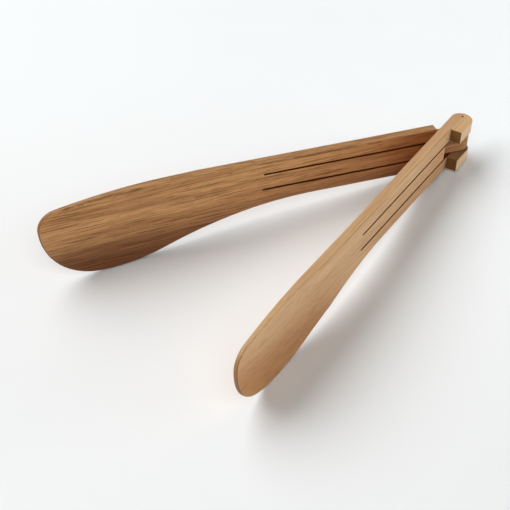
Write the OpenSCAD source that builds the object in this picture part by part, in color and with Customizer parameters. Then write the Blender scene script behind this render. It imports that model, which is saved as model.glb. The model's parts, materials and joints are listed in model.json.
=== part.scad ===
// Self-sprung wooden print tongs, standing open on their lower edges.
// Two flat wooden arms with broad paddles turn on one thin pin. Two saw cuts split each handle
// into three strips. On the fork arm the outer strips reach the pin and the middle one is a
// spring leaf. On the tongue arm the middle strip reaches the pin and the outer ones are leaves.
// A small block glued outside each strip that reaches the pin makes it thick enough for a knuckle.

/* [Arm] */
// Length of an arm from the pin to the tip
reach = 285; // [260:1:310]
// Height of the handle
handle_h = 28.5; // [27:0.5:30]
// Thickness of the board that an arm is cut from
board_t = 6.4; // [6:0.1:7]
// Width of a saw cut
kerf = 1.2; // [1:0.1:1.4]
// Height of the middle strip between the two saw cuts
middle_h = 9.7; // [9:0.1:10.5]
// Distance from the pin to the closed end of the saw cuts
kerf_root = 140; // [130:1:150]

/* [Paddle] */
// Depth of the belly below the lower edge of the handle
belly_drop = 26.5; // [22:0.5:28]
// Radius of the belly on its handle side
belly_r = 112; // [104:1:120]
// Radius of the nose, from the belly round to the tip
nose_r = 43; // [41:1:45]
// Radius of the corner between the top edge and the nose
tip_r = 11; // [9:0.5:13]
// Distance from the pin to where the lower edge starts to fall into the neck
neck_start = 104; // [98:1:110]
// Distance from the pin to where the top edge starts to fall
top_bend_start = 204; // [195:1:210]
// Radius of the falling top edge
top_bend_r = 400; // [370:5:430]
// Radius of the crown across the outer face of the paddle
crown_r = 380; // [340:5:420]
// Distance that the inner face of the paddle leans in at the tip
paddle_lean = 1; // [0.6:0.1:1.4]
// Thickness taken off the outer face along the crown at the tip
crown_tip_cut = 4.7; // [4.2:0.1:5]

/* [Hinge] */
// Angle between the two arms at rest
open_angle = 36.4; // [36:0.2:38]
// Distance of the pin inside the outer face of the fork arm
fork_pin_inset = 0.3; // [0:0.1:0.6]
// Distance of the pin outside the outer face of the tongue arm
tongue_pin_outset = 2; // [1.6:0.1:2.2]
// Width of a hinge knuckle across the arm
knuckle_w = 13.4; // [13:0.1:14]
// Distance from the pin to the square shoulder of a knuckle
shoulder = 17.7; // [16:0.1:18.5]
// Distance from the pin to the centre of the rounded end of a knuckle
end_centre = 2.7; // [2:0.1:3]
// Diameter of the hinge pin
pin_d = 1.6; // [1.2:0.1:2]
// Clearance round the pin in the knuckle that turns on it
pin_gap = 0.05; // [0.03:0.01:0.08]
// Depth of each pin end below the wood
pin_sink = 0.4; // [0.2:0.1:0.8]

/* [Springs] */
// Distance from the pin to the free end of the fork arm's leaf
fork_leaf_end = 23.4; // [23.2:0.1:25]
// Distance from the pin to the free ends of the tongue arm's leaves
tongue_leaf_end = 22.6; // [22.4:0.1:24]

/* [Hidden] */
$fn = 180;

WOOD = [0.69, 0.50, 0.33];
LEAF_WOOD = [0.66, 0.47, 0.30];
BLOCK_WOOD = [0.76, 0.61, 0.42];
STEEL = [0.30, 0.28, 0.27];

half_h = handle_h / 2;
half_angle = open_angle / 2;
// Half height of the middle strip, and of the slot that it leaves in the other arm
middle_half = middle_h / 2;
slot_half = middle_half + kerf;
// Outer face of each arm, measured from the pin towards the other arm
fork_face = -fork_pin_inset;
tongue_face = tongue_pin_outset;
// A length that runs clear of the arm on any side
clear = 3 * handle_h;

// Side outline of an arm: the pin is at the origin, the tip lies along +X
belly_x = reach - nose_r;
belly_low = half_h + belly_drop;
belly_c = [belly_x, belly_r - belly_low];
nose_c = [belly_x, nose_r - belly_low];
top_c = [top_bend_start, half_h - top_bend_r];
// The neck is hollow: its circle touches the lower edge of the handle and the belly
neck_run = belly_x - neck_start;
neck_rise = belly_c[1] + half_h;
neck_r = (neck_run * neck_run + neck_rise * neck_rise - belly_r * belly_r) / (2 * (belly_r - neck_rise));
neck_c = [neck_start, -half_h - neck_r];
// The tip circle touches the nose and the falling top edge from inside
tip_c = circle_meet(nose_c, nose_r - tip_r, top_c, top_bend_r - tip_r);
tip_to_nose = (tip_c - nose_c) / norm(tip_c - nose_c);
tip_to_top = (tip_c - top_c) / norm(tip_c - top_c);

// The crown's crest runs straight from outside the handle, and meets the board's face at the paddle
crown_from = [neck_start, -4.1, 0];
crown_to = [reach, crown_tip_cut, -4];
crown_dir = crown_to - crown_from;
crown_tilt = acos(crown_dir[2] / norm(crown_dir));
crown_turn = atan2(crown_dir[1], crown_dir[0]);

// At rest the tongs stand on the fork arm's lower knuckle and on both bellies
heel_x = knuckle_centre_x(fork_face) - knuckle_w / 2;
heel_run = belly_x * cos(half_angle) - heel_x;
heel_bow = belly_r * pow(cos(half_angle), 2) / 2;
pitch = atan((heel_run - sqrt(heel_run * heel_run - 4 * heel_bow * belly_drop)) / (2 * heel_bow));
floor_z = heel_x * sin(pitch) - half_h * cos(pitch);
// Middle of the space that the standing tongs take up
back_x = heel_x * cos(pitch) - half_h * sin(pitch);
nose_spread = sqrt(pow(cos(half_angle) * cos(pitch), 2) + pow(sin(pitch), 2));
front_x = along_nose(tongue_face + board_t + paddle_lean) + nose_r * nose_spread;
side_shift = (tongue_face - fork_face) * cos(half_angle) / 2;
rest_shift = [-(back_x + front_x) / 2, -side_shift, -floor_z];

// The meeting point of two circles that lies further along +X
function circle_meet(a, ra, b, rb) =
    let (
        d = norm(b - a),
        u = (b - a) / d,
        m = (d * d + ra * ra - rb * rb) / (2 * d),
        h = sqrt(ra * ra - m * m)
    )
    a + u * m + h * [-u[1], u[0]] * (u[1] < 0 ? 1 : -1);

// Place along the opening direction of a knuckle's round end, for an arm with this outer face
function knuckle_centre_x(face) =
    end_centre * cos(half_angle) + (face + board_t - knuckle_w / 2) * sin(half_angle);

// Place of the nose circle's centre along the floor, at this distance in from the pin
function along_nose(inward) =
    (belly_x * cos(half_angle) + inward * sin(half_angle)) * cos(pitch) - nose_c[1] * sin(pitch);

// Stands a piece, drawn about the pin, on the floor as the tongs rest
module at_rest() {
    translate(rest_shift) rotate([0, -pitch, 0]) children();
}

// Turns a piece drawn along +X, with +Y towards the other arm, to the fork arm's place
module on_fork() {
    at_rest() rotate([0, 0, half_angle]) mirror([0, 1, 0]) children();
}

// Turns a piece drawn along +X, with +Y towards the other arm, to the tongue arm's place
module on_tongue() {
    at_rest() rotate([0, 0, -half_angle]) children();
}

// Points along an arc, without its last one
function arc(c, r, from, to, steps) =
    [for (i = [0:steps - 1]) c + r * [cos(from + (to - from) * i / steps), sin(from + (to - from) * i / steps)]];

function heading(v) = atan2(v[1], v[0]);

// Side view of an arm: handle, hollow neck, belly, nose, rounded tip and falling top edge
module arm_outline() {
    polygon(concat(
        [[0, half_h], [0, -half_h]],
        arc(neck_c, neck_r, 90, heading(belly_c - neck_c), 14),
        arc(belly_c, belly_r, heading(neck_c - belly_c), -90, 10),
        arc(nose_c, nose_r, -90, heading(tip_to_nose), 24),
        arc(tip_c, tip_r, heading(tip_to_nose), heading(tip_to_top), 8),
        arc(top_c, top_bend_r, heading(tip_to_top), 90, 12),
        [[top_bend_start, half_h]]
    ));
}

// Top view of an arm's board: straight faces, with the paddle leaning in towards the other arm
module arm_plan(face) {
    inner = face + board_t;
    lean_rate = paddle_lean / (reach - kerf_root);
    polygon([[0, face], [reach + clear, face], [reach + clear, inner + lean_rate * (reach + clear - kerf_root)],
        [kerf_root, inner], [0, inner]]);
}

// A whole arm without its hinge: a board with flat inner faces and a crowned paddle outside
module arm_board(face) {
    intersection() {
        translate([0, face + clear, 0]) rotate([90, 0, 0]) linear_extrude(2 * clear) arm_outline();
        translate([0, 0, -clear]) linear_extrude(2 * clear) arm_plan(face);
        translate(crown_from + [0, face + crown_r / cos(crown_turn), 0])
            rotate([0, crown_tilt, crown_turn])
                cylinder(h = 3 * reach, r = crown_r, center = true, $fn = 360);
    }
}

// The part of an arm's board between two distances from the pin and two heights
module board_piece(face, from, to, low, high) {
    intersection() {
        arm_board(face);
        translate([from, face - clear, low]) cube([to - from, 2 * clear + board_t, high - low]);
    }
}

// The round end that a strip and its block share at the hinge
module round_end(face, low, high) {
    translate([end_centre, face + board_t - knuckle_w / 2, low]) cylinder(d = knuckle_w, h = high - low);
}

// The end of a strip that reaches the pin, rounded as far as the board is thick
module strip_end(face, low, high) {
    intersection() {
        round_end(face, low, high);
        translate([-clear, face, low]) cube([2 * clear, clear, high - low]);
    }
}

// A block glued to the outer face of a strip: square shouldered, and round at the hinge
module knuckle_block(face, low, high) {
    block_w = knuckle_w - board_t;
    intersection() {
        union() {
            round_end(face, low, high);
            translate([end_centre, face - block_w, low]) cube([shoulder - end_centre, knuckle_w, high - low]);
        }
        translate([-clear, face - clear, low]) cube([2 * clear, clear, high - low]);
    }
}

// The hole that the pin is pressed into on the fork arm, and turns in on the tongue arm
module pin_hole(gap) {
    cylinder(d = pin_d + 2 * gap, h = 2 * handle_h, center = true, $fn = 48);
}

module fork_arm() {
    color(WOOD) on_fork() difference() {
        union() {
            board_piece(fork_face, kerf_root, reach + clear, -clear, clear);
            board_piece(fork_face, end_centre, kerf_root, slot_half, half_h);
            board_piece(fork_face, end_centre, kerf_root, -clear, -slot_half);
            strip_end(fork_face, slot_half, half_h);
            strip_end(fork_face, -half_h, -slot_half);
        }
        pin_hole(0);
    }
}

module upper_knuckle_block() {
    color(BLOCK_WOOD) on_fork() difference() {
        knuckle_block(fork_face, slot_half, half_h);
        pin_hole(0);
    }
}

module lower_knuckle_block() {
    color(BLOCK_WOOD) on_fork() difference() {
        knuckle_block(fork_face, -half_h, -slot_half);
        pin_hole(0);
    }
}

module fork_spring() {
    color(LEAF_WOOD) on_fork()
        board_piece(fork_face, fork_leaf_end, kerf_root, -middle_half, middle_half);
}

module tongue_arm() {
    color(WOOD) on_tongue() union() {
        board_piece(tongue_face, kerf_root, reach + clear, -clear, clear);
        board_piece(tongue_face, end_centre, kerf_root, -middle_half, middle_half);
        strip_end(tongue_face, -middle_half, middle_half);
    }
}

module middle_knuckle_block() {
    color(BLOCK_WOOD) on_tongue() difference() {
        knuckle_block(tongue_face, -middle_half, middle_half);
        pin_hole(pin_gap);
    }
}

module upper_spring() {
    color(LEAF_WOOD) on_tongue()
        board_piece(tongue_face, tongue_leaf_end, kerf_root, slot_half, clear);
}

module lower_spring() {
    color(LEAF_WOOD) on_tongue()
        board_piece(tongue_face, tongue_leaf_end, kerf_root, -clear, -slot_half);
}

module hinge_pin() {
    color(STEEL) at_rest()
        cylinder(d = pin_d, h = handle_h - 2 * pin_sink, center = true, $fn = 48);
}

fork_arm();
upper_knuckle_block();
lower_knuckle_block();
fork_spring();
tongue_arm();
middle_knuckle_block();
upper_spring();
lower_spring();
hinge_pin();
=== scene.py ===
# Looks of a pair of self-sprung wooden print tongs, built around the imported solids.
import json
from collections import namedtuple
from math import acos, atan2, cos, pi, radians, sin, sqrt

import bmesh
import bpy
from mathutils import Matrix, Vector


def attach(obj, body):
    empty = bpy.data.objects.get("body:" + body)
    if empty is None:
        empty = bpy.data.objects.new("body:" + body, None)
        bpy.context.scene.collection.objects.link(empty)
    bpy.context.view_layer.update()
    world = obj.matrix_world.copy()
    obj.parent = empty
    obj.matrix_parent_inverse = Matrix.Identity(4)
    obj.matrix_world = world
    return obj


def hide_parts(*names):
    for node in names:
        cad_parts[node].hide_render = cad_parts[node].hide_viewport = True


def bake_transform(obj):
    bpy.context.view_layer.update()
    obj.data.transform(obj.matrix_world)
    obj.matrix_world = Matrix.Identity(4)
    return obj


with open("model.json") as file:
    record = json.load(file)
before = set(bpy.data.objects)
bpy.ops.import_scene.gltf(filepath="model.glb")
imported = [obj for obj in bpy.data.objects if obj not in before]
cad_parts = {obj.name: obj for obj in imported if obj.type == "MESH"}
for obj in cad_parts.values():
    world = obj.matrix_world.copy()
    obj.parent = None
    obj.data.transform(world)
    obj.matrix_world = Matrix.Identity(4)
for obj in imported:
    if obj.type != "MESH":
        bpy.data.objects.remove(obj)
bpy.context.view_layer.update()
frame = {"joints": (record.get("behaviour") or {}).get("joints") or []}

# Sizes of the tongs in millimetres and radians, the same as in the solids.
# Along an arm, s is the distance from the pin, w the distance inward and v the height.
MM = 0.001
REACH = 285.0
HALF_H = 14.25
BOARD_T = 6.4
KERF_ROOT = 140.0
MIDDLE_HALF = 4.85
SLOT_HALF = 6.05
BELLY_DROP = 26.5
BELLY_R = 112.0
NOSE_R = 43.0
TIP_R = 11.0
NECK_START = 104.0
TOP_BEND_START = 204.0
TOP_BEND_R = 400.0
CROWN_R = 380.0
CROWN_TIP_CUT = 4.7
CROWN_TIP_V = -4.0
CROWN_START_CUT = -4.1
PADDLE_LEAN = 1.0
HALF_ANGLE = radians(36.4 / 2)
FORK_FACE = -0.3
TONGUE_FACE = 2.0
KNUCKLE_R = 6.7
SHOULDER = 17.7
END_CENTRE = 2.7
FORK_LEAF_END = 23.4
TONGUE_LEAF_END = 22.6
PIN_R = 0.8
PIN_GAP = 0.05
PIN_SINK = 0.4

# Finer sizes that the solids leave out: the pin's slack in its holes and the shape of its ends
PIN_SLACK = 0.01
PIN_CHAMFER = 0.15
PIN_CROWN = 0.05

# How far the sanded edges are rounded. Where that changes along an arm, it is written as stops of
# (distance from the pin, width). The widest is the width that a full bevel weight stands for.
TOP_ROUNDS = [(SHOULDER, 0.7), (50.0, 1.2), (180.0, 1.4), (230.0, 1.0), (270.0, 0.6)]
BOTTOM_ROUNDS = [(SHOULDER, 0.6), (90.0, 0.8), (180.0, 1.0), (230.0, 0.8), (270.0, 0.6)]
INNER_ROUNDS = [(SHOULDER, 0.4), (100.0, 0.5), (180.0, 0.9)]
KNUCKLE_ROUND = 0.4
SAWN_ROUND = 0.12
LEAF_END_ROUND = 0.25
WIDEST_ROUND = 3.0
ROUND_STEPS = 4
CORNER_ANGLE = radians(40)

# How finely the meshes are divided
ROW_STEP = 4.0
HANDLE_STEP = 12.0
KNUCKLE_MIDDLE = 10.0
KNUCKLE_STEPS = 10
PADDLE_COLUMNS = 10
EDGE_COLUMN = 5.0
ARC_STEPS = 60
PIN_SIDES = 32

# Places and points that are this close count as one
NEAR = 0.01
POINT_DIGITS = 4
WELD = 1e-3 * MM

# The rows of the paddle's mesh are upright up to here, and turn round the nose beyond
FAN_START = 246.0
FAN_ROWS = 52

# Circles of an arm's side outline
BELLY_S = REACH - NOSE_R
BELLY_LOW = HALF_H + BELLY_DROP
BELLY_V = BELLY_R - BELLY_LOW
NOSE_V = NOSE_R - BELLY_LOW
TOP_V = HALF_H - TOP_BEND_R
NECK_RUN = BELLY_S - NECK_START
NECK_RISE = BELLY_V + HALF_H
NECK_R = (NECK_RUN ** 2 + NECK_RISE ** 2 - BELLY_R ** 2) / (2 * (BELLY_R - NECK_RISE))
NECK_END = NECK_START + NECK_RUN * NECK_R / (NECK_R + BELLY_R)


# Outline and faces of an arm

def rise(radius, off):
    """Height of a circle over its centre, at a distance to one side of it."""
    return sqrt(max(0.0, radius ** 2 - off ** 2))


def top_edge(s):
    if s <= TOP_BEND_START:
        return HALF_H
    return TOP_V + rise(TOP_BEND_R, s - TOP_BEND_START)


def bottom_edge(s):
    if s <= NECK_START:
        return -HALF_H
    if s <= NECK_END:
        return -HALF_H - NECK_R + rise(NECK_R, s - NECK_START)
    if s <= BELLY_S:
        return BELLY_V - rise(BELLY_R, s - BELLY_S)
    return NOSE_V - rise(NOSE_R, s - BELLY_S)


def level(v):
    """A level edge."""
    def edge(s):
        return v
    return edge


# The three strips of a handle, as their high and low edges
UPPER_STRIP = (level(HALF_H), level(SLOT_HALF))
MIDDLE_STRIP = (level(MIDDLE_HALF), level(-MIDDLE_HALF))
LOWER_STRIP = (level(-SLOT_HALF), bottom_edge)


def tip_circle():
    """Centre of the circle that touches the nose and the top edge from inside."""
    nose = Vector((BELLY_S, NOSE_V))
    top = Vector((TOP_BEND_START, TOP_V))
    gap = (top - nose).length
    to_top = (top - nose) / gap
    from_nose = NOSE_R - TIP_R
    from_top = TOP_BEND_R - TIP_R
    along = (gap ** 2 + from_nose ** 2 - from_top ** 2) / (2 * gap)
    side = sqrt(from_nose ** 2 - along ** 2)
    return nose + to_top * along + Vector((-to_top.y, to_top.x)) * side


def arc(centre, radius, start, end, steps):
    """Points along an arc between two angles."""
    step = (end - start) / steps
    turns = [start + i * step for i in range(steps + 1)]
    return [centre + radius * Vector((cos(turn), sin(turn))) for turn in turns]


def spread(points, count):
    """Points evenly spread along a line of points."""
    lengths = [0.0]
    for a, b in zip(points, points[1:]):
        lengths.append(lengths[-1] + (b - a).length)
    out = []
    leg = 0
    for i in range(count + 1):
        want = lengths[-1] * i / count
        while leg < len(points) - 2 and lengths[leg + 1] < want:
            leg += 1
        share = (want - lengths[leg]) / (lengths[leg + 1] - lengths[leg])
        out.append(points[leg].lerp(points[leg + 1], min(share, 1.0)))
    return out


def nose_line():
    """The border beyond the fan's start, from the top edge round the tip and the nose."""
    nose = Vector((BELLY_S, NOSE_V))
    tip = tip_circle()
    nose_turn = atan2(tip.y - nose.y, tip.x - nose.x)
    top_turn = atan2(tip.y - TOP_V, tip.x - TOP_BEND_START)
    top_centre = Vector((TOP_BEND_START, TOP_V))
    fan_top = acos((FAN_START - TOP_BEND_START) / TOP_BEND_R)
    fan_low = -acos((FAN_START - BELLY_S) / NOSE_R)
    line = arc(top_centre, TOP_BEND_R, fan_top, top_turn, ARC_STEPS)
    line += arc(tip, TIP_R, top_turn, nose_turn, ARC_STEPS)[1:]
    line += arc(nose, NOSE_R, nose_turn, fan_low, 2 * ARC_STEPS)[1:]
    return spread(line, FAN_ROWS)


def stations(start, end, step):
    """Even distances from a start to an end, about a step apart."""
    count = max(1, round(abs(end - start) / step))
    return [start + (end - start) * i / count for i in range(count + 1)]


def crown_cut(s, v):
    """Depth of the crowned outer face below the flat face of the board."""
    share = (s - NECK_START) / (REACH - NECK_START)
    crest = CROWN_START_CUT + (CROWN_TIP_CUT - CROWN_START_CUT) * share
    off_crest = v - CROWN_TIP_V * share
    return max(0.0, crest + CROWN_R - rise(CROWN_R, off_crest))


def board_outer(face):
    def outer(s, v):
        return face + crown_cut(s, v)
    return outer


def board_inner(face):
    """The inner face: flat, leaning in along the paddle, and rounded off round the pin."""
    def inner(s, v):
        if s < END_CENTRE:
            return face + BOARD_T - KNUCKLE_R + rise(KNUCKLE_R, s - END_CENTRE)
        return face + BOARD_T + max(0.0, PADDLE_LEAN * (s - KERF_ROOT) / (REACH - KERF_ROOT))
    return inner


def block_outer(face):
    def outer(s, v):
        back = max(0.0, END_CENTRE - s)
        return face + BOARD_T - KNUCKLE_R - rise(KNUCKLE_R, back)
    return outer


def block_inner(face):
    def inner(s, v):
        return face
    return inner


# Side views, as cells that the boards' meshes are raised from

class SideView:
    """Cells in the side view of a piece, with points shared between neighbours."""

    def __init__(self):
        self.points = []
        self.index = {}
        self.cells = []

    def point(self, s, v):
        key = (round(s, POINT_DIGITS), round(v, POINT_DIGITS))
        if key not in self.index:
            self.index[key] = len(self.points)
            self.points.append(Vector((s, v)))
        return self.index[key]

    def cell(self, corners):
        ids = []
        for s, v in corners:
            i = self.point(s, v)
            if i not in ids:
                ids.append(i)
        if len(ids) > 2:
            self.cells.append(ids)

    def rows(self, rows):
        """Fills the space between rows of points with four-sided cells."""
        for low, high in zip(rows, rows[1:]):
            for i in range(len(low) - 1):
                self.cell([low[i], low[i + 1], high[i + 1], high[i]])

    def strip(self, distances, high, low):
        """Fills a strip between its high and low edges, at distances along an arm."""
        self.rows([[(s, low(s)), (s, high(s))] for s in distances])

    def border(self):
        """Edges that belong to one cell only."""
        seen = {}
        for ids in self.cells:
            for a, b in zip(ids, ids[1:] + ids[:1]):
                seen[(a, b)] = True
        return [(a, b) for a, b in seen if (b, a) not in seen]


def knuckle_stations():
    """Distances from the shoulder back round the end of a knuckle."""
    back = rise(KNUCKLE_R, KNUCKLE_R - BOARD_T)
    turns = [sin(radians(90) * i / KNUCKLE_STEPS) for i in range(KNUCKLE_STEPS + 1)]
    return [SHOULDER, KNUCKLE_MIDDLE] + [END_CENTRE - back * t for t in turns]


def paddle_row(s):
    """Points across an arm, closer together beside its edges."""
    top = Vector((s, top_edge(s)))
    low = Vector((s, bottom_edge(s)))
    edge = EDGE_COLUMN / (top - low).length
    inside = [edge + (1 - 2 * edge) * i / (PADDLE_COLUMNS - 2) for i in range(PADDLE_COLUMNS - 1)]
    return [tuple(top.lerp(low, share)) for share in [0.0] + inside + [1.0]]


def nose_rows(last_row):
    """Rows from the border round the nose to the middle of the last upright row."""
    half = PADDLE_COLUMNS // 2
    focus = Vector(last_row[half])
    top = Vector(last_row[0])
    shares = [(Vector(p) - top).length / (focus - top).length for p in last_row[:half + 1]]
    return [[tuple(p.lerp(focus, share)) for share in shares] for p in nose_line()]


def arm_view(strips):
    """Side view of an arm: its paddle, and the strips that reach the pin."""
    view = SideView()
    rows = [paddle_row(s) for s in stations(KERF_ROOT + ROW_STEP, FAN_START, ROW_STEP)]
    view.rows(rows)
    view.rows(nose_rows(rows[-1]))
    marks = [HALF_H, SLOT_HALF, MIDDLE_HALF, -MIDDLE_HALF, -SLOT_HALF, bottom_edge(KERF_ROOT)]
    root = [(KERF_ROOT, v) for v in marks]
    view.cell(root + rows[0][::-1])
    handle = stations(KERF_ROOT, NECK_START, ROW_STEP)[:-1]
    handle += stations(NECK_START, SHOULDER, HANDLE_STEP)[:-1]
    for high, low in strips:
        view.strip(handle + knuckle_stations(), high, low)
    return view


def strip_view(distances, strip):
    view = SideView()
    view.strip(distances, *strip)
    return view


# Rounding of a piece's outer edges, inner edges and corners at a place on its border

def ramp(stops, s):
    """A value that runs straight between (place, value) stops."""
    for (s0, v0), (s1, v1) in zip(stops, stops[1:]):
        if s <= s1:
            return v0 + (v1 - v0) * max(0.0, s - s0) / (s1 - s0)
    return stops[-1][1]


def sanded(s, v):
    """Rounding of the outer and inner edges along the top or the bottom of an arm."""
    return ramp(TOP_ROUNDS if v > 0 else BOTTOM_ROUNDS, s), ramp(INNER_ROUNDS, s)


def soften_arm(s, v, upright):
    if abs(s - KERF_ROOT) < NEAR:
        return 0.0, 0.0, 0.0
    if s < KERF_ROOT and abs(v) < SLOT_HALF + NEAR:
        return (SAWN_ROUND if s > SHOULDER else 0.0), SAWN_ROUND, 0.0
    if s < SHOULDER:
        return 0.0, KNUCKLE_ROUND, 0.0
    return (*sanded(s, v), 0.0)


def soften_leaf(s, v, upright):
    if abs(s - KERF_ROOT) < NEAR:
        return 0.0, 0.0, 0.0
    if upright:
        return LEAF_END_ROUND, LEAF_END_ROUND, LEAF_END_ROUND
    if abs(v) < SLOT_HALF + NEAR:
        return SAWN_ROUND, SAWN_ROUND, SAWN_ROUND
    return (*sanded(s, v), LEAF_END_ROUND)


def soften_block(s, v, upright):
    if upright and s < END_CENTRE:
        return 0.0, 0.0, KNUCKLE_ROUND
    return KNUCKLE_ROUND, 0.0, KNUCKLE_ROUND


# Where an arm lies at rest: the matrix from its own axes to the frame in metres, which way along
# its second axis is inward, the w of its outer face, and its three axes in the frame
Arm = namedtuple("Arm", "matrix inward face along across up")


def lay_arm(turn, inward, face):
    """An arm that is turned about the pin from the middle of the opening."""
    hinge = next(j for j in frame["joints"] if j["name"] == "tongs_hinge")
    up = Vector(hinge["axis"]).normalized()
    along = Vector((up.z, 0.0, -up.x))
    across = up.cross(along)
    axes = Matrix((along, across, up)).transposed().to_4x4()
    pin_centre = Matrix.Translation(Vector(hinge["pos_m"]))
    matrix = pin_centre @ axes @ Matrix.Rotation(turn, 4, "Z")
    return Arm(matrix, inward, face, *[axis.copy() for axis in matrix.to_3x3().col])


FORK = lay_arm(HALF_ANGLE, -1.0, FORK_FACE)
TONGUE = lay_arm(-HALF_ANGLE, 1.0, TONGUE_FACE)


def place(arm, s, w, v):
    """A point of an arm, from millimetres along its axes to metres in the frame."""
    return arm.matrix @ Vector((s * MM, arm.inward * w * MM, v * MM))


# Meshes

def new_piece(name, bm):
    """An object in the scene with a mesh that has been built."""
    mesh = bpy.data.meshes.new(name)
    bm.to_mesh(mesh)
    bm.free()
    piece = bpy.data.objects.new(name, mesh)
    bpy.context.scene.collection.objects.link(piece)
    return piece


def apply_modifiers(piece):
    graph = bpy.context.evaluated_depsgraph_get()
    mesh = bpy.data.meshes.new_from_object(piece.evaluated_get(graph), depsgraph=graph)
    piece.modifiers.clear()
    piece.data = mesh


def close_mesh(bm):
    """Joins points that coincide, and turns the faces outward."""
    bmesh.ops.remove_doubles(bm, verts=bm.verts, dist=WELD)
    bmesh.ops.recalc_face_normals(bm, faces=bm.faces)
    if bm.calc_volume(signed=True) < 0:
        bmesh.ops.reverse_faces(bm, faces=bm.faces)


def raise_board(name, arm, view, outer, inner, soften):
    """A closed mesh over a side view, between an outer and an inner face, with rounded edges."""
    bm = bmesh.new()
    weight = bm.edges.layers.float.new("bevel_weight_edge")
    out = [bm.verts.new(place(arm, p.x, outer(p.x, p.y), p.y)) for p in view.points]
    inn = [bm.verts.new(place(arm, p.x, inner(p.x, p.y), p.y)) for p in view.points]
    for ids in view.cells:
        bm.faces.new([out[i] for i in ids])
        bm.faces.new([inn[i] for i in reversed(ids)])
    for a, b in view.border():
        bm.faces.new([out[b], out[a], inn[a], inn[b]])
    weigh_edges(bm, weight, view, out, inn, soften)
    close_mesh(bm)
    piece = new_piece(name, bm)
    round_edges(piece)
    return piece


def weigh_edges(bm, weight, view, out, inn, soften):
    """Says how far each edge is rounded, and joins the flat walls of a knuckle into one face."""
    border = view.border()
    steps = {a: view.points[b] - view.points[a] for a, b in border}
    rounds = {}
    for a, step in steps.items():
        middle = view.points[a] + step / 2
        rounds[a] = soften(middle.x, middle.y, abs(step.y) > abs(step.x))
    joins = []
    for a, b in border:
        outside, inside, corner = rounds[a]
        bm.edges.get((out[a], out[b]))[weight] = outside / WIDEST_ROUND
        bm.edges.get((inn[a], inn[b]))[weight] = inside / WIDEST_ROUND
        through = bm.edges.get((out[b], inn[b]))
        if steps[a].angle(steps[b]) > CORNER_ANGLE:
            through[weight] = min(corner, rounds[b][2]) / WIDEST_ROUND
        elif view.points[b].x < SHOULDER:
            joins.append(through)
    bmesh.ops.dissolve_edges(bm, edges=joins)


def round_edges(piece):
    """Rounds the edges of a board as far as their weights say."""
    bevel = piece.modifiers.new("sanded_edges", "BEVEL")
    bevel.limit_method = "WEIGHT"
    bevel.width = WIDEST_ROUND * MM
    bevel.segments = ROUND_STEPS
    bevel.use_clamp_overlap = False
    apply_modifiers(piece)


def smooth(piece):
    """Smooth shading that keeps the flat faces flat beside their rounded edges."""
    piece.data.polygons.foreach_set("use_smooth", [True] * len(piece.data.polygons))
    piece.data.set_sharp_from_angle(angle=CORNER_ANGLE)
    normals = piece.modifiers.new("even_shading", "WEIGHTED_NORMAL")
    normals.keep_sharp = True
    apply_modifiers(piece)


def drill(piece, arm, radius):
    """Cuts the pin's hole through a piece."""
    through = 4 * HALF_H * MM
    bm = bmesh.new()
    bmesh.ops.create_cone(bm, cap_ends=True, segments=PIN_SIDES, radius1=radius * MM,
                          radius2=radius * MM, depth=through)
    bm.transform(arm.matrix)
    cutter = new_piece("pin_hole", bm)
    cut = piece.modifiers.new("pin_hole", "BOOLEAN")
    cut.object = cutter
    cut.solver = "MANIFOLD"
    apply_modifiers(piece)
    bpy.data.objects.remove(cutter)


def make_arm(name, arm, strips):
    view = arm_view(strips)
    return raise_board(name, arm, view, board_outer(arm.face), board_inner(arm.face), soften_arm)


def make_leaf(name, arm, end, strip):
    view = strip_view(stations(KERF_ROOT, end, ROW_STEP), strip)
    return raise_board(name, arm, view, board_outer(arm.face), board_inner(arm.face), soften_leaf)


def make_block(name, arm, strip):
    view = strip_view(knuckle_stations(), strip)
    return raise_board(name, arm, view, block_outer(arm.face), block_inner(arm.face), soften_block)


def make_fork():
    arm = make_arm("fork_arm_wood", FORK, [UPPER_STRIP, LOWER_STRIP])
    leaf = make_leaf("fork_leaf", FORK, FORK_LEAF_END, MIDDLE_STRIP)
    upper = make_block("upper_block", FORK, UPPER_STRIP)
    lower = make_block("lower_block", FORK, LOWER_STRIP)
    for piece in (arm, upper, lower):
        drill(piece, FORK, PIN_R)
    return arm, leaf, upper, lower


def make_tongue():
    arm = make_arm("tongue_arm_wood", TONGUE, [MIDDLE_STRIP])
    upper = make_leaf("upper_leaf", TONGUE, TONGUE_LEAF_END, UPPER_STRIP)
    lower = make_leaf("lower_leaf", TONGUE, TONGUE_LEAF_END, LOWER_STRIP)
    block = make_block("middle_block", TONGUE, MIDDLE_STRIP)
    drill(block, TONGUE, PIN_R + PIN_GAP)
    return arm, upper, lower, block


def make_pin():
    """A thin pin with chamfered and slightly crowned ends, turned from its profile."""
    radius = PIN_R - PIN_SLACK
    half = HALF_H - PIN_SINK
    profile = [(0.0, half + PIN_CROWN), (0.4 * radius, half + 0.8 * PIN_CROWN),
               (radius - PIN_CHAMFER, half), (radius, half - PIN_CHAMFER)]
    profile += [(r, -v) for r, v in reversed(profile)]
    bm = bmesh.new()
    line = [bm.verts.new((r * MM, 0.0, v * MM)) for r, v in profile]
    edges = [bm.edges.new(pair) for pair in zip(line, line[1:])]
    bmesh.ops.spin(bm, geom=line + edges, cent=(0, 0, 0), axis=(0, 0, 1), angle=2 * pi,
                   steps=PIN_SIDES)
    close_mesh(bm)
    bm.transform(FORK.matrix)
    return new_piece("hinge_pin_steel", bm)


# Materials

def linear(hex_colour):
    """A colour written as six hex digits, as the linear values that a shader takes."""
    values = [int(hex_colour[i:i + 2], 16) / 255 for i in (0, 2, 4)]
    return [v / 12.92 if v <= 0.04045 else ((v + 0.055) / 1.055) ** 2.4 for v in values] + [1.0]


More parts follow.
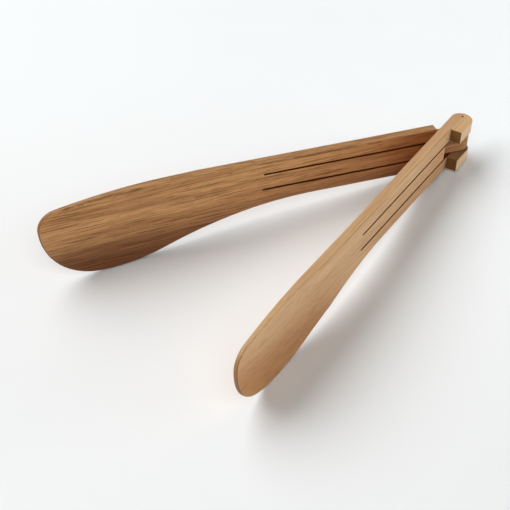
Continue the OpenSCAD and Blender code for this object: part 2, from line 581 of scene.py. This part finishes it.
# A layer of noise: how often it turns along, across and up the grain, how it is made, and the values
# where it starts to show and is full. The wood's layers turn per millimetre, the others per metre.
Layer = namedtuple("Layer", "scale detail roughness distortion start full",
                   defaults=(0.5, 0.0, 0.0, 1.0))
BROAD_TONE = Layer((0.006, 0.05, 0.05), detail=2.0, start=0.35, full=0.65)
BANDS = Layer((0.008, 0.25, 0.25), detail=3.0, roughness=0.6, distortion=0.3, start=0.45, full=0.68)
LINES = Layer((0.025, 1.25, 1.25), detail=3.0, roughness=0.6, distortion=0.15, start=0.5, full=0.64)
FIBRES = Layer((0.06, 2.6, 2.6), detail=3.0, roughness=0.6)
PORES = Layer((0.12, 2.0, 2.0), detail=1.0, start=0.62, full=0.7)
PATCHES = Layer((0.06, 0.2, 0.2), detail=3.0, roughness=0.6, start=0.46, full=0.62)
HEART_BORDER = Layer((0.012, 0.3, 0.3), detail=3.0)
SPECKLE = Layer((900.0, 900.0, 900.0), detail=3.0, start=0.35, full=0.65)
MOTTLE = Layer((30.0, 30.0, 30.0), detail=2.0, start=0.3, full=0.7)

# Most of a noise's values lie between these
NOISE_RANGE = (0.3, 0.7)

# How far a face looks along an axis, from 0 to 1, where its tone starts and is full
EDGE_FACES = (0.4, 0.9)
SAWN_FACES = (0.3, 0.6)
END_FACES = (0.6, 0.9)
RIM_FACES = (0.5, 0.9)
BROAD_FACES = (0.2, 0.9)
CORNER_FROM_RIM = (0.25, 0.5)
CORNER_FROM_FACE = (0.96, 0.85)
CORNER_AT_TIP = (0.05, 0.3)

# Distances in millimetres where a tone starts and is full
# Painted shade by the hinge: where it starts and is full along an arm, and where it lessens on the
# knuckle
HINGE_SHADE_RUN = (80.0, 30.0)
KNUCKLE_SHADE_RUN = (SHOULDER, 1.6 * SHOULDER)
END_GRAIN_RUN = (2 * SHOULDER, 1.8 * SHOULDER)
TIP_RUN = (BELLY_S, BELLY_S + TIP_R)
LINE_TOP_RUN = (0.0, 0.5)
LINE_FOOT_RUN = (2.0, 1.0)
LINE_END_RUN = (REACH - TIP_R, REACH - 1.6 * TIP_R)
HEART_FADE_RUN = (0.0, 55.0)
HEART_WOBBLE = 14.0
JUST_PAST = 0.4

# How strongly a tone shows
BAND_SHARE = 0.5
FIBRE_DARKER = 0.2
FIBRE_LIGHTER = 0.15
KNUCKLE_SHADE_SHARE = 0.45
HEART_FADE_SHARE = 0.35
CORNER_SHARE = 0.6
END_GRAIN_SHARE = 0.95
MOTTLE_SHARE = 0.15

# Surfaces: roughness from smooth to rough, shine, and the relief of the fibres and pores
WOOD_ROUGHNESS = (0.44, 0.58)
WOOD_SHINE = 0.3
FIBRE_RELIEF = 0.5
RELIEF_DEPTH = 0.05
RELIEF_STRENGTH = 0.6
PIN_ROUGHNESS = (0.4, 0.6)
PIN_METALLIC = 0.8
FLOOR_ROUGHNESS = 0.9
FLOOR_SHINE = 0.1

# Colours, as six hex digits
# Saw burn with painted shade for the walls of the saw cuts
SAW_BURN_AND_SHADE_COLOUR = "652e0b"
# Darker end grain by the hinge, with painted shade beyond its own tone
END_GRAIN_AND_SHADE_COLOUR = "6f4825"
EDGE_LINE_COLOUR = "663a17"
TIP_TONE = "cdbda6"
PIN_DARK_COLOUR = "44291f"
PIN_LIGHT_COLOUR = "5c4034"
FLOOR_COLOUR = "eeeeee"
FLOOR_PAINTED_LIGHT_BEHIND_COLOUR = "f4f6f7"
FLOOR_PAINTED_LIGHT_RIGHT_COLOUR = "fafcfd"
FLOOR_MOTTLE_COLOUR = "f2f2f1"

# Distances in metres, nearer and to the right, over which painted light makes the floor whiter
FLOOR_BEHIND_RUN = (0.12, -0.32)
FLOOR_RIGHT_RUN = (-0.1, 0.28)
FLOOR_RIGHT_NEARER_RUN = (0.3, -0.2)

# A darker lower side of a board: its tone, the slope of its border, the heights where it starts and
# is full, and the distance from the pin around which it fades
LowSide = namedtuple("LowSide", "tone slope start full fades", defaults=(None,))

# How a board of wood looks: its part of the noise, the slope of its grain, its colours, how strongly
# its streaks and pores show, the tone of its edges, how far saw burn and painted shade darken its saw
# cuts, its darker lower side, how strongly the line along its top edge shows, and its painted shade by
# the hinge
Board = namedtuple("Board", "shift slope light mid dark streaks pores edge walls "
                            "low_side edge_line hinge_end", defaults=(None, 0.0, None))
FORK_BOARD = Board(
    shift=(0.0, 0.0, 0.0), slope=radians(0.5), light="e1b788", mid="dbae81", dark="a0704a",
    streaks=0.28, pores=0.2, edge="e0dcd4", walls=1.0, hinge_end="f5eeea",
    low_side=LowSide(tone="dac2a0", slope=radians(1.5), start=14.0, full=-38.0, fades=145.0))
TONGUE_BOARD = Board(
    shift=(400.0, 30.0, 12.0), slope=radians(-2.5), light="d5a169", mid="c58e59", dark="7d5029",
    streaks=0.8, pores=0.7, edge="d5d2c8", walls=1.0, hinge_end="d3b8ab", edge_line=0.65,
    low_side=LowSide(tone="967a61", slope=radians(-3), start=3.5, full=-21.0))
FORK_BLOCK = Board(
    shift=(900.0, 70.0, 40.0), slope=0.0, light="eac69c", mid="e0ba90", dark="a0704a",
    streaks=0.28, pores=0.2, edge="e0d6c3", walls=0.5)
TONGUE_BLOCK = Board(
    shift=(1300.0, 90.0, 60.0), slope=0.0, light="d0a169", mid="be8c5a", dark="7d5029",
    streaks=0.7, pores=0.5, edge="f0ead8", walls=0.5)


class Nodes:
    """Short ways to add and join a material's nodes."""

    def __init__(self, name):
        self.material = bpy.data.materials.new(name)
        self.material.use_nodes = True
        self.tree = self.material.node_tree
        self.shader = self.tree.nodes["Principled BSDF"]

    def join(self, source, target):
        self.tree.links.new(source, target)

    def add(self, kind, **settings):
        node = self.tree.nodes.new(kind)
        for key, value in settings.items():
            setattr(node, key, value)
        return node

    def noise(self, vector, layer):
        """The values of a layer of noise."""
        stretch = self.add("ShaderNodeVectorMath", operation="MULTIPLY")
        self.join(vector, stretch.inputs[0])
        stretch.inputs[1].default_value = layer.scale
        node = self.add("ShaderNodeTexNoise")
        self.join(stretch.outputs[0], node.inputs["Vector"])
        node.inputs["Scale"].default_value = 1.0
        node.inputs["Detail"].default_value = layer.detail
        node.inputs["Roughness"].default_value = layer.roughness
        node.inputs["Distortion"].default_value = layer.distortion
        return node.outputs["Fac"]

    def remap(self, value, low, high, to_low=0.0, to_high=1.0):
        node = self.add("ShaderNodeMapRange", interpolation_type="SMOOTHSTEP")
        self.join(value, node.inputs["Value"])
        node.inputs["From Min"].default_value = low
        node.inputs["From Max"].default_value = high
        node.inputs["To Min"].default_value = to_low
        node.inputs["To Max"].default_value = to_high
        return node.outputs["Result"]

    def shown(self, values, layer):
        """How far a layer of noise shows, from 0 to 1."""
        return self.remap(values, layer.start, layer.full)

    def up_to(self, value, limit):
        """1 up to a limit in millimetres, and 0 just past it."""
        return self.remap(value, limit + JUST_PAST, limit + JUST_PAST / 2)

    def math(self, operation, a, b=0.0):
        node = self.add("ShaderNodeMath", operation=operation)
        for value, socket in zip((a, b), node.inputs):
            if isinstance(value, (int, float)):
                socket.default_value = value
            else:
                self.join(value, socket)
        return node.outputs[0]

    def times(self, product, *factors):
        for factor in factors:
            product = self.math("MULTIPLY", product, factor)
        return product

    def mix(self, share, a, b, blend="MIX"):
        node = self.add("ShaderNodeMix", data_type="RGBA", blend_type=blend)
        sockets = (node.inputs["Factor"], node.inputs[6], node.inputs[7])
        for value, socket in zip((share, a, b), sockets):
            if isinstance(value, (int, float, list)):
                socket.default_value = value
            else:
                self.join(value, socket)
        return node.outputs[2]

    def bump(self, height, distance, strength):
        node = self.add("ShaderNodeBump")
        node.inputs["Distance"].default_value = distance
        node.inputs["Strength"].default_value = strength
        self.join(height, node.inputs["Height"])
        self.join(node.outputs["Normal"], self.shader.inputs["Normal"])

    def coords(self, kind):
        return self.add("ShaderNodeTexCoord").outputs[kind]

    def along_arm(self, arm):
        """A point's place along an arm's own axes, in millimetres."""
        node = self.add("ShaderNodeMapping", vector_type="TEXTURE")
        node.inputs["Location"].default_value = arm.matrix.translation
        node.inputs["Rotation"].default_value = arm.matrix.to_euler()
        node.inputs["Scale"].default_value = (MM, MM, MM)
        self.join(self.coords("Object"), node.inputs["Vector"])
        return node.outputs["Vector"]

    def split(self, vector):
        node = self.add("ShaderNodeSeparateXYZ")
        self.join(vector, node.inputs[0])
        return node.outputs

    def facing(self, direction):
        """How far a face looks along a direction or against it, from 0 to 1."""
        dot = self.add("ShaderNodeVectorMath", operation="DOT_PRODUCT")
        self.join(self.coords("Normal"), dot.inputs[0])
        dot.inputs[1].default_value = direction
        return self.math("ABSOLUTE", dot.outputs["Value"])

    def turned(self, vector, angle, shift=(0.0, 0.0, 0.0)):
        """A place turned in an arm's side view and moved to another part of the noise."""
        turn = self.add("ShaderNodeVectorRotate", rotation_type="Y_AXIS")
        self.join(vector, turn.inputs["Vector"])
        turn.inputs["Angle"].default_value = angle
        move = self.add("ShaderNodeVectorMath", operation="ADD")
        self.join(turn.outputs["Vector"], move.inputs[0])
        move.inputs[1].default_value = shift
        return move.outputs[0]


def growth(n, grain, board):
    """Colour of the growth of the wood, with the values of its lines and fibres."""
    lines = n.noise(grain, LINES)
    fibres = n.noise(grain, FIBRES)
    broad = n.shown(n.noise(grain, BROAD_TONE), BROAD_TONE)
    colour = n.mix(broad, linear(board.mid), linear(board.light))
    band = n.times(n.shown(n.noise(grain, BANDS), BANDS), BAND_SHARE * board.streaks)
    colour = n.mix(band, colour, linear(board.dark))
    line = n.times(n.shown(lines, LINES), board.streaks)
    colour = n.mix(line, colour, linear(board.dark))
    darkest = 1.0 - FIBRE_DARKER * board.streaks
    lightest = 1.0 + FIBRE_LIGHTER * board.streaks
    shade = n.remap(fibres, *NOISE_RANGE, darkest, lightest)
    return n.mix(1.0, colour, shade, blend="MULTIPLY"), lines, fibres


def darker_below(n, here, grain, low_side, colour):
    """Heartwood along the lower side of a board, with an uneven border."""
    height = n.split(n.turned(here, low_side.slope))["Z"]
    wobble = n.math("SUBTRACT", n.noise(grain, HEART_BORDER), 0.5)
    height = n.math("ADD", height, n.times(wobble, HEART_WOBBLE))
    share = n.remap(height, low_side.start, low_side.full)
    if low_side.fades:
        away = n.math("ABSOLUTE", n.math("SUBTRACT", n.split(here)["X"], low_side.fades))
        share = n.times(share, n.remap(away, *HEART_FADE_RUN, HEART_FADE_SHARE))
    return n.mix(share, colour, linear(low_side.tone), blend="MULTIPLY")


def edge_tone(n, arm, tone, colour):
    """Tones down the top and bottom edges of a board."""
    edge = n.remap(n.facing(arm.up), *EDGE_FACES)
    return n.mix(edge, colour, linear(tone), blend="MULTIPLY")


def edge_line(n, spot, grain, strength, colour):
    """An uneven dark line where the top edge of a board meets its faces."""
    past_bend = n.math("MAXIMUM", n.math("SUBTRACT", spot["X"], TOP_BEND_START), 0.0)
    drop = n.math("DIVIDE", n.times(past_bend, past_bend), 2 * TOP_BEND_R)
    depth = n.math("SUBTRACT", n.math("SUBTRACT", HALF_H, drop), spot["Z"])
    line = n.times(n.remap(depth, *LINE_TOP_RUN), n.remap(depth, *LINE_FOOT_RUN))
    before_tip = n.remap(spot["X"], *LINE_END_RUN)
    patches = n.shown(n.noise(grain, PATCHES), PATCHES)
    return n.mix(n.times(line, before_tip, patches, strength), colour, linear(EDGE_LINE_COLOUR))


def tip_tone(n, arm, spot, colour):
    """Darker end grain on the rim of a paddle's tip, darkest along its corner with the faces."""
    at_tip = n.remap(spot["X"], *TIP_RUN)
    end_on = n.facing(arm.along)
    rim = n.times(n.remap(end_on, *RIM_FACES), at_tip)
    colour = n.mix(rim, colour, linear(TIP_TONE), blend="MULTIPLY")
    face_on = n.facing(arm.across)
    corner = n.times(n.remap(face_on, *CORNER_FROM_RIM), n.remap(face_on, *CORNER_FROM_FACE))
    corner = n.times(corner, at_tip, n.remap(end_on, *CORNER_AT_TIP, 0.0, CORNER_SHARE))
    return n.mix(corner, colour, linear(EDGE_LINE_COLOUR))


def painted_shade_by_hinge(n, arm, spot, tone, colour):
    """Painted shade on a board's faces between the arms by the hinge, less on the knuckle itself."""
    by_hinge = n.remap(spot["X"], *HINGE_SHADE_RUN)
    off_knuckle = n.remap(spot["X"], *KNUCKLE_SHADE_RUN, KNUCKLE_SHADE_SHARE)
    face_on = n.remap(n.facing(arm.across), *BROAD_FACES)
    return n.mix(n.times(by_hinge, off_knuckle, face_on), colour, linear(tone), blend="MULTIPLY")


def sawn(n, arm, spot, walls, colour):
    """Darkens saw cuts and end grain by the hinge, partly as painted shade, and says where they are."""
    in_slot = n.times(n.up_to(n.math("ABSOLUTE", spot["Z"]), SLOT_HALF), n.up_to(spot["X"], KERF_ROOT))
    # Painted shade in the narrow saw cuts, with some saw burn: their walls are darkened
    wall = n.times(n.remap(n.facing(arm.up), *SAWN_FACES), in_slot)
    colour = n.mix(n.times(wall, walls), colour, linear(SAW_BURN_AND_SHADE_COLOUR))
    # Darker end grain on the end faces by the hinge, with painted shade beyond its own tone
    end = n.times(n.remap(n.facing(arm.along), *END_FACES), n.remap(spot["X"], *END_GRAIN_RUN))
    colour = n.mix(n.times(end, END_GRAIN_SHARE), colour, linear(END_GRAIN_AND_SHADE_COLOUR))
    return colour, n.math("MAXIMUM", wall, end)


def wood(name, arm, board):
    """Oiled wood with its grain along an arm."""
    n = Nodes(name)
    here = n.along_arm(arm)
    spot = n.split(here)
    grain = n.turned(here, board.slope, board.shift)
    colour, lines, fibres = growth(n, grain, board)
    if board.low_side:
        colour = darker_below(n, here, grain, board.low_side, colour)
    pores = n.times(n.shown(n.noise(grain, PORES), PORES), board.pores)
    colour = n.mix(pores, colour, linear(board.dark))
    colour = edge_tone(n, arm, board.edge, colour)
    if board.edge_line:
        colour = edge_line(n, spot, grain, board.edge_line, colour)
    colour = tip_tone(n, arm, spot, colour)
    # Painted shade: the faces between the arms by the hinge are darkened and warmed
    if board.hinge_end:
        colour = painted_shade_by_hinge(n, arm, spot, board.hinge_end, colour)
    colour, dull = sawn(n, arm, spot, board.walls, colour)
    n.join(colour, n.shader.inputs["Base Color"])

    n.join(n.remap(lines, *NOISE_RANGE, *WOOD_ROUGHNESS), n.shader.inputs["Roughness"])
    n.join(n.remap(dull, 0.0, 1.0, WOOD_SHINE, 0.0), n.shader.inputs["Specular IOR Level"])
    relief = n.math("SUBTRACT", n.times(fibres, FIBRE_RELIEF), pores)
    n.bump(relief, RELIEF_DEPTH * MM, RELIEF_STRENGTH)
    return n.material


def pin_steel():
    """Dull brown steel with a fine speckle."""
    n = Nodes("pin_steel")
    speckle = n.noise(n.coords("Object"), SPECKLE)
    colour = n.mix(n.shown(speckle, SPECKLE), linear(PIN_DARK_COLOUR), linear(PIN_LIGHT_COLOUR))
    n.join(colour, n.shader.inputs["Base Color"])
    n.join(n.remap(speckle, *NOISE_RANGE, *PIN_ROUGHNESS), n.shader.inputs["Roughness"])
    n.shader.inputs["Metallic"].default_value = PIN_METALLIC
    return n.material


def pale_floor():
    """A pale floor, with painted light that makes it a little whiter behind the object and to its
    right.
    """
    n = Nodes("pale_floor")
    here = n.coords("Object")
    spot = n.split(here)
    nearer = n.math("ADD", spot["X"], spot["Y"])
    rightward = n.math("SUBTRACT", spot["Y"], spot["X"])
    # Painted light on the floor: whiter behind the object and to its right
    behind = n.remap(nearer, *FLOOR_BEHIND_RUN)
    colour = n.mix(behind, linear(FLOOR_COLOUR), linear(FLOOR_PAINTED_LIGHT_BEHIND_COLOUR))
    right = n.times(n.remap(nearer, *FLOOR_RIGHT_NEARER_RUN), n.remap(rightward, *FLOOR_RIGHT_RUN))
    colour = n.mix(right, colour, linear(FLOOR_PAINTED_LIGHT_RIGHT_COLOUR))
    mottle = n.times(n.shown(n.noise(here, MOTTLE), MOTTLE), MOTTLE_SHARE)
    colour = n.mix(mottle, colour, linear(FLOOR_MOTTLE_COLOUR))
    n.join(colour, n.shader.inputs["Base Color"])
    n.shader.inputs["Roughness"].default_value = FLOOR_ROUGHNESS
    n.shader.inputs["Specular IOR Level"].default_value = FLOOR_SHINE
    return n.material


# Stage, in metres

CAMERA_AIM = (0.02695, -0.01745, 0.0)
CAMERA_DISTANCE = 1.5487
CAMERA_AZIMUTH = radians(135.95)
CAMERA_ELEVATION = radians(39.92)
CAMERA_ROLL = radians(0.49)
CAMERA_LENS = 183.69
FLOOR_HALF = 3.0
WHITE = (1.0, 1.0, 1.0)
COOL_WHITE = (0.95, 1.0, 1.0)


def look_from(azimuth, elevation):
    """Direction from what is looked at to the eye: azimuth 0 looks along +Y."""
    return Vector((sin(azimuth) * cos(elevation), -cos(azimuth) * cos(elevation), sin(elevation)))


def aimed(away):
    """Turns a camera or a lamp that stands in a direction to look back."""
    return (-away).to_track_quat("-Z", "Y").to_matrix().to_4x4()


def make_camera():
    camera = bpy.data.objects.new("camera", bpy.data.cameras.new("camera"))
    away = look_from(CAMERA_AZIMUTH, CAMERA_ELEVATION)
    stand = Matrix.Translation(Vector(CAMERA_AIM) + CAMERA_DISTANCE * away)
    camera.matrix_world = stand @ aimed(away) @ Matrix.Rotation(CAMERA_ROLL, 4, "Z")
    camera.data.lens = CAMERA_LENS
    bpy.context.scene.collection.objects.link(camera)
    bpy.context.scene.camera = camera


def make_lamp(name, azimuth, elevation, width, height, power, distance=3.0, colour=WHITE):
    data = bpy.data.lights.new(name, "AREA")
    data.color = colour
    data.shape = "ELLIPSE"
    data.size = width
    data.size_y = height
    data.energy = power
    lamp = bpy.data.objects.new(name, data)
    away = look_from(azimuth, elevation)
    lamp.matrix_world = Matrix.Translation(distance * away) @ aimed(away)
    bpy.context.scene.collection.objects.link(lamp)


def make_world(strength, seen):
    """A pale backdrop that is seen and mirrored, and lights the object only a little."""
    world = bpy.data.worlds.new("studio")
    world.use_nodes = True
    bpy.context.scene.world = world
    tree = world.node_tree
    background = tree.nodes["Background"]
    background.inputs["Color"].default_value = (*WHITE, 1.0)
    path = tree.nodes.new("ShaderNodeLightPath")
    looks = path.outputs["Is Camera Ray"]
    for kind in ("Is Glossy Ray", "Is Transmission Ray"):
        either = tree.nodes.new("ShaderNodeMath")
        either.operation = "MAXIMUM"
        tree.links.new(looks, either.inputs[0])
        tree.links.new(path.outputs[kind], either.inputs[1])
        looks = either.outputs[0]
    share = tree.nodes.new("ShaderNodeMapRange")
    share.inputs["To Min"].default_value = strength
    share.inputs["To Max"].default_value = seen
    tree.links.new(looks, share.inputs["Value"])
    tree.links.new(share.outputs["Result"], background.inputs["Strength"])


def make_floor():
    bm = bmesh.new()
    bmesh.ops.create_grid(bm, x_segments=4, y_segments=4, size=FLOOR_HALF)
    floor = new_piece("floor", bm)
    floor.data.materials.append(pale_floor())


def dress(piece, material, node):
    """Shades a finished mesh smoothly, gives it its material and hides the solid that it stands for."""
    smooth(piece)
    piece.data.materials.clear()
    piece.data.materials.append(material)
    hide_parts(node)


def bend_leaf(piece):
    """Bakes a leaf's place at rest into its mesh, without bending it."""
    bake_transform(piece)


bpy.context.scene.view_settings.view_transform = "Standard"
make_camera()
make_world(strength=0.03, seen=0.9)
make_floor()
make_lamp("key", radians(20), radians(50), width=4.8, height=2.8, power=102.0)
make_lamp("left_fill", radians(68), radians(42), width=1.6, height=1.6, power=12.0)
make_lamp("front_fill", radians(138), radians(48), width=1.8, height=1.8, power=30.5, colour=COOL_WHITE)
make_lamp("reflector", radians(226), radians(10), width=1.6, height=1.0, power=14.0, distance=2.0)

fork_wood = wood("fork_wood", FORK, FORK_BOARD)
tongue_wood = wood("tongue_wood", TONGUE, TONGUE_BOARD)
fork_block_wood = wood("fork_block_wood", FORK, FORK_BLOCK)
tongue_block_wood = wood("tongue_block_wood", TONGUE, TONGUE_BLOCK)

fork_arm, fork_leaf, upper_block, lower_block = make_fork()
dress(fork_arm, fork_wood, "fork_arm")
dress(fork_leaf, fork_wood, "fork_spring")
dress(upper_block, fork_block_wood, "upper_knuckle_block")
dress(lower_block, fork_block_wood, "lower_knuckle_block")

tongue_arm, upper_leaf, lower_leaf, middle_block = make_tongue()
dress(tongue_arm, tongue_wood, "tongue_arm")
dress(upper_leaf, tongue_wood, "upper_spring")
dress(lower_leaf, tongue_wood, "lower_spring")
dress(middle_block, tongue_block_wood, "middle_knuckle_block")

pin = make_pin()
dress(pin, pin_steel(), "hinge_pin")

for piece in (fork_arm, upper_block, lower_block, pin):
    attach(piece, "fork_arm")
for piece in (tongue_arm, middle_block):
    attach(piece, "tongue_arm")
bend_leaf(fork_leaf)
bend_leaf(upper_leaf)
bend_leaf(lower_leaf)
